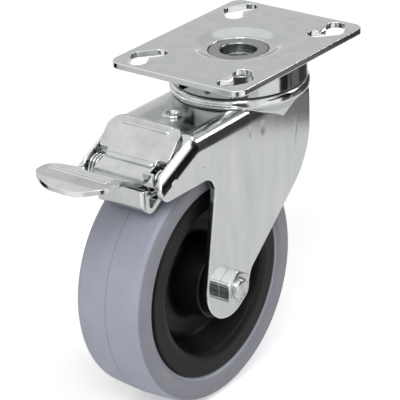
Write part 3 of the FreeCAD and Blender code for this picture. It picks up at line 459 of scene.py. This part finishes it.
# %% Mould line
LINE_PROUD, LINE_HALF, LINE_ROOT = 0.12 * MM, 0.22 * MM, 0.3 * MM

root, ridge = TYRE_RADIUS - LINE_ROOT, TYRE_RADIUS + LINE_PROUD
line = [(root, -LINE_HALF), (TYRE_RADIUS, -LINE_HALF), (ridge, 0), (TYRE_RADIUS, LINE_HALF), (root, LINE_HALF)]
mould_line = spun("mould_line", line, AXLE, (0, 1, 0), 144)
mould_line.data.materials.append(creased_rubber)
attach(mould_line, "wheel")

# %% [markdown]
# ### The bolt's thread
# The thread at a bolt's end is a helix. Only two turns of it stand out of the nut, and two turns look the
# same as two rings, which the spin makes in one go.

# %% Thread on the bolt's end
PITCH, SHANK, CREST = 0.75 * MM, 5 * MM, 5.3 * MM
FLANK = 0.2 * MM  # along the axle, for each side of a ridge and for its crest
THREAD_ROOT, THREAD_GAP, BARE_END = 0.4 * MM, 0.3 * MM, 0.2 * MM

bolt_end, nut_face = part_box("axle_bolt")[0].y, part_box("axle_nut")[0].y
thread = [(SHANK - THREAD_ROOT, nut_face), (SHANK, nut_face)]
for turn in range(2):
    start = nut_face - THREAD_GAP - turn * PITCH
    thread += [(SHANK, start), (CREST, start - FLANK), (CREST, start - 2 * FLANK), (SHANK, start - 3 * FLANK)]
thread += [(SHANK - THREAD_ROOT, bolt_end + BARE_END)]
bolt_thread = spun("bolt_thread", [(away, along - AXLE.y) for away, along in thread], AXLE, (0, 1, 0), 48)
bolt_thread.data.materials.append(nut_zinc)
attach(bolt_thread, "fork")

# %% [markdown]
# ### Beads across the pedal
# The pedal is stiffened by beads that the press raises across it: one broad bead on its crease, and two
# narrow ones near the tread's edge. The solid has them low. A rod with round ends, sunk in the sheet, raises
# each to the height that catches the light. An extrusion along the crease would need its ends closed by hand.

# %% Raised beads
def rounded(piece, width, corner):
    """Rounds each edge of a new piece that turns by more than corner degrees, and gives it the pedal's zinc."""
    bpy.ops.object.transform_apply(location=True, rotation=True, scale=True)
    bevel = piece.modifiers.new("rounding", "BEVEL")
    bevel.width, bevel.segments = width, 4
    bevel.limit_method, bevel.angle_limit = "ANGLE", math.radians(corner)
    bpy.ops.object.modifier_apply(modifier=bevel.name)
    bpy.ops.object.shade_smooth_by_angle(angle=math.radians(40))
    piece.data.materials.append(pedal_zinc)


def raised_bead(name, x, z, radius, length):
    """A round-ended rod across the pedal, sunk in its sheet."""
    bpy.ops.object.select_all(action="DESELECT")
    bpy.ops.mesh.primitive_cylinder_add(vertices=24, radius=radius, depth=length, location=(x, 0, z),
                                        rotation=(math.pi / 2, 0, 0))
    bead = bpy.context.object
    bead.name = name
    rounded(bead, radius * 0.9, 60)
    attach(bead, "pedal")
    print(name, "faces:", len(bead.data.polygons))


raised_bead("tread_bead_outer", -70.9 * MM, -17.3 * MM, 1.3 * MM, 30 * MM)
raised_bead("tread_bead_inner", -73.8 * MM, -18.5 * MM, 1.2 * MM, 28 * MM)
raised_bead("crease_bead", -86.6 * MM, -30.5 * MM, 1.9 * MM, 29.4 * MM)

# %% [markdown]
# ### The ear in front of the near spring
# Where the pedal's neck meets its near cheek, the pressing leaves a small upright ear in front of the spring.
# It turns with the pedal on the same pin as the coil, so it can't meet it. A bevelled block is enough for a
# sheet this small, and its round edges catch the light as the real one's do.

# %% Pedal ear
EAR_FRONT, EAR_BACK, EAR_FOOT, EAR_TOP = -95.0 * MM, -93.2 * MM, -37.3 * MM, -30.2 * MM
EAR_INNER, EAR_OUTER = -14.0 * MM, -20.2 * MM

bpy.ops.object.select_all(action="DESELECT")
middle = ((EAR_FRONT + EAR_BACK) / 2, (EAR_INNER + EAR_OUTER) / 2, (EAR_FOOT + EAR_TOP) / 2)
bpy.ops.mesh.primitive_cube_add(size=1.0, location=middle,
                                scale=(EAR_BACK - EAR_FRONT, EAR_INNER - EAR_OUTER, EAR_TOP - EAR_FOOT))
ear = bpy.context.object
ear.name = "pedal_ear"
rounded(ear, 0.7 * MM, 30)
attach(ear, "pedal")
print(ear.name, "faces:", len(ear.data.polygons))

# %% [markdown]
# ## Camera
# The photograph looks down at the castor from its pedal side. The camera's bearing, height, roll, distance
# and lens were found by matching the plate's corners, the tyre and the fork in the picture, so the model
# lands on the photograph without any shift. The bearing is counted from -Y towards +X, and is negative here,
# so the camera stands on the -X side, where the pedal is.

# %% Photograph's camera
BEARING, HEIGHT, ROLL = math.radians(-51.1371), math.radians(24.7195), math.radians(-2.7657)
DISTANCE = 1090.0782 * MM
LOOK_AT = Vector((0, 0, -75 * MM))
ASIDE, ABOVE = 22.0611 * MM, 9.1416 * MM  # how far the camera is moved left and down from a straight look
FOCAL, PICTURE = 2150.2205, 400  # the lens and the picture's width, both in pixels

back = Vector((math.sin(BEARING) * math.cos(HEIGHT), -math.cos(BEARING) * math.cos(HEIGHT), math.sin(HEIGHT)))
level = Vector((math.cos(BEARING), math.sin(BEARING), 0))
upright = back.cross(level)
right = level * math.cos(ROLL) + upright * math.sin(ROLL)
up = upright * math.cos(ROLL) - level * math.sin(ROLL)

camera_data = bpy.data.cameras.new("camera")
camera_data.sensor_width = 36.0
camera_data.lens = FOCAL / PICTURE * camera_data.sensor_width
camera_data.clip_start = 0.05
camera = bpy.data.objects.new("camera", camera_data)
camera.matrix_world = Matrix((right, up, back)).transposed().to_4x4()
camera.location = LOOK_AT + back * DISTANCE - right * ASIDE - up * ABOVE
bpy.context.collection.objects.link(camera)
bpy.context.scene.camera = camera
print("camera at:", [round(v, 3) for v in camera.location], "lens:", round(camera_data.lens, 1))

# %% [markdown]
# ## Studio
# Bright metal shows the room more than itself, so the room is planned like a product photographer's. A white
# surround and a white floor fill most reflections, and flat cards stand where the photograph's metal turns
# dark or bright. A card is only there for mirror rays: the camera and the soft light pass through it. Each
# flat stage piece is a plane, and the cards are hung in a direction from the castor or stood on the floor.

# %% Helpers for the stage
def matt_surface(piece, colour, rough, glow):
    """Gives a stage piece a plain colour without a highlight, and a colour that its light will have."""
    material, tree, shader, _ = new_material(piece.name)
    shader.inputs["Base Color"].default_value = linear(colour)
    shader.inputs["Roughness"].default_value = rough
    shader.inputs["Specular IOR Level"].default_value = 0.0
    shader.inputs["Emission Color"].default_value = linear(glow)
    piece.data.materials.append(material)
    return tree, shader


def floor_or_card(name, place, size, facing=None):
    """A flat stage piece, lying down or turned to face a point."""
    bpy.ops.object.select_all(action="DESELECT")
    bpy.ops.mesh.primitive_plane_add(size=1.0, location=place)
    piece = bpy.context.object
    piece.name = name
    piece.scale = (size[0], size[1], 1.0)
    if facing is not None:
        piece.rotation_euler = (Vector(facing) - Vector(place)).to_track_quat("Z", "Y").to_euler()
    return piece


def mirror_only(piece, hex_code, level=1.0):
    """Gives a card one brightness, and lets only mirror rays meet it."""
    _, shader = matt_surface(piece, "#000000", 1.0, hex_code)
    shader.inputs["Emission Strength"].default_value = level
    piece.visible_camera = piece.visible_diffuse = piece.visible_shadow = False


def toward(bearing, height=0.0):
    """The direction at a bearing from +X towards +Y and a height above the horizon, both in degrees."""
    flat = math.cos(math.radians(height))
    return Vector((math.cos(math.radians(bearing)) * flat, math.sin(math.radians(bearing)) * flat,
                   math.sin(math.radians(height))))


def hung_card(name, bearing, height, distance, size, hex_code, level=1.0):
    """A card hung in a direction from the castor, facing it."""
    card = floor_or_card(name, LOOK_AT + toward(bearing, height) * distance, size, LOOK_AT)
    mirror_only(card, hex_code, level)


def standing_card(name, bearing, distance, width, top, hex_code, level=1.0):
    """A card that stands on the floor, facing the swivel axis."""
    middle = toward(bearing) * distance + Vector((0, 0, (FLOOR + top) / 2))
    card = floor_or_card(name, middle, (width, top - FLOOR), Vector((0, 0, middle.z)))
    mirror_only(card, hex_code, level)


# %% [markdown]
# ### White floor and surround
# The photograph's background is pure white, with hardly a shadow. A floor lit that hard would also light the
# castor from below and wash it out. So the floor glows for the camera's rays, and only faintly for mirror
# rays. The surround is full white where it is looked at, and half as bright as light on the object.

# %% White floor and surround
AMBIENT = 0.5  # how bright the white surround is as light on the object
FLOOR_GLOW = 0.4  # what the floor adds for the camera, over the light that falls on it
FLOOR_MIRRORED = 0.09  # and what it adds for mirror rays
FLOOR_SIDE, FLOOR_GAP = 6.0, 0.2 * MM  # its sides, and how far it lies under the tyre


def seen_directly(tree):
    """1 for the camera's own rays and for mirror and glass rays, 0 for the light that falls on the object."""
    rays = add_node(tree, "ShaderNodeLightPath").outputs
    either = maths(tree, "MAXIMUM", rays["Is Camera Ray"], rays["Is Glossy Ray"])
    return maths(tree, "MAXIMUM", either, rays["Is Transmission Ray"])


floor = floor_or_card("floor", (0, 0, FLOOR - FLOOR_GAP), (FLOOR_SIDE, FLOOR_SIDE))
tree, shader = matt_surface(floor, "#F4F4F4", 0.9, "#FFFFFF")
rays = add_node(tree, "ShaderNodeLightPath").outputs
mirrored = maths(tree, "MULTIPLY", rays["Is Glossy Ray"], FLOOR_MIRRORED)
glow = maths(tree, "MULTIPLY_ADD", rays["Is Camera Ray"], FLOOR_GLOW, mirrored)
tree.links.new(glow, shader.inputs["Emission Strength"])

world = bpy.data.worlds.new("studio")
bpy.context.scene.world = world
world.use_nodes = True
tree = world.node_tree
tree.nodes.clear()
strength = add_node(tree, "ShaderNodeMapRange", Value=seen_directly(tree), To_Min=AMBIENT, To_Max=1.0)
surround = add_node(tree, "ShaderNodeBackground", Color=linear("#FFFFFF"), Strength=strength.outputs["Result"])
add_node(tree, "ShaderNodeOutputWorld", Surface=surround.outputs["Background"])
print("floor at:", round(floor.location.z / MM, 1), "mm, surround as light:", AMBIENT)

# %% [markdown]
# ### Lamps
# The surround gives most of the light. Two soft square lamps add a little direction: a broad one above the
# camera's left, and a small, weak one on the right. A sun or a point lamp would leave hard shadows that the
# photograph doesn't have. The Standard view transform keeps white as white.

# %% Lamps
def soft_lamp(name, place, size, watts):
    """A square lamp that faces the castor."""
    data = bpy.data.lights.new(name, "AREA")
    data.size, data.energy = size, watts
    lamp = bpy.data.objects.new(name, data)
    lamp.location = place
    lamp.rotation_euler = (Vector(place) - LOOK_AT).to_track_quat("Z", "Y").to_euler()
    bpy.context.collection.objects.link(lamp)
    print(name, "watts:", watts)


soft_lamp("key_left", place=(-0.9, -0.5, 1.0), size=0.7, watts=8.0)
soft_lamp("fill_right", place=(0.75, -0.55, 0.62), size=0.35, watts=2.5)
bpy.context.scene.view_settings.view_transform = "Standard"

# %% [markdown]
# ### Cards
# Each card stands where one of the castor's surfaces looks in the photograph. The plate's top mirrors what
# is behind the castor, so a white card hangs there. Two more white ones and a dark one hang high on the
# castor's near side and its right, for the bright and dark stripes along the fork's bend. The photograph's
# table is a small white sheet in a dark room: the leg looks down at the sheet and is pale, while the race
# cup and the plate's edges look past it, into the dark. So grey and dark cards stand on the floor a third of
# a metre away, with white ones between them. A small dark card lies on the floor in front of the castor,
# where the nut's lower faces look.

# %% Cards
TABLE = 330 * MM
# name, bearing and height in degrees, distance and size in metres, colour, brightness
hung_card("card_back", 39, 27, 1.2, (1.5, 0.7), "#FFFFFF", 0.75)
hung_card("card_top", -90, 55, 0.9, (0.5, 0.5), "#FFFFFF", 2.0)
hung_card("card_above", -4, 44, 1.0, (0.75, 0.36), "#FFFFFF", 0.7)
hung_card("card_dark_above", -60, 40, 0.8, (0.36, 0.34), "#2A2A2A")
# name, bearing in degrees, distance, width, height of its top, colour, brightness
standing_card("card_grey_right", -39, TABLE - 5 * MM, 120 * MM, -110 * MM, "#808080")
standing_card("card_dark_right", -23, TABLE, 420 * MM, 150 * MM, "#484848")
standing_card("card_dark_front", -78, TABLE + 10 * MM, 270 * MM, 150 * MM, "#1A1A1A")
standing_card("card_dark_left", 118, TABLE, 230 * MM, -20 * MM, "#050505")
standing_card("card_white_front", -90, TABLE, 280 * MM, -60 * MM, "#FFFFFF", 1.3)
standing_card("card_white_left", 170, TABLE, 190 * MM, -60 * MM, "#FFFFFF", 1.3)
standing_card("card_camera", -141, TABLE, 130 * MM, 60 * MM, "#606060", 0.6)
nut_card = floor_or_card("card_floor", (-168 * MM, -111 * MM, FLOOR + 1 * MM), (90 * MM, 90 * MM))
mirror_only(nut_card, "#4A4A4A")
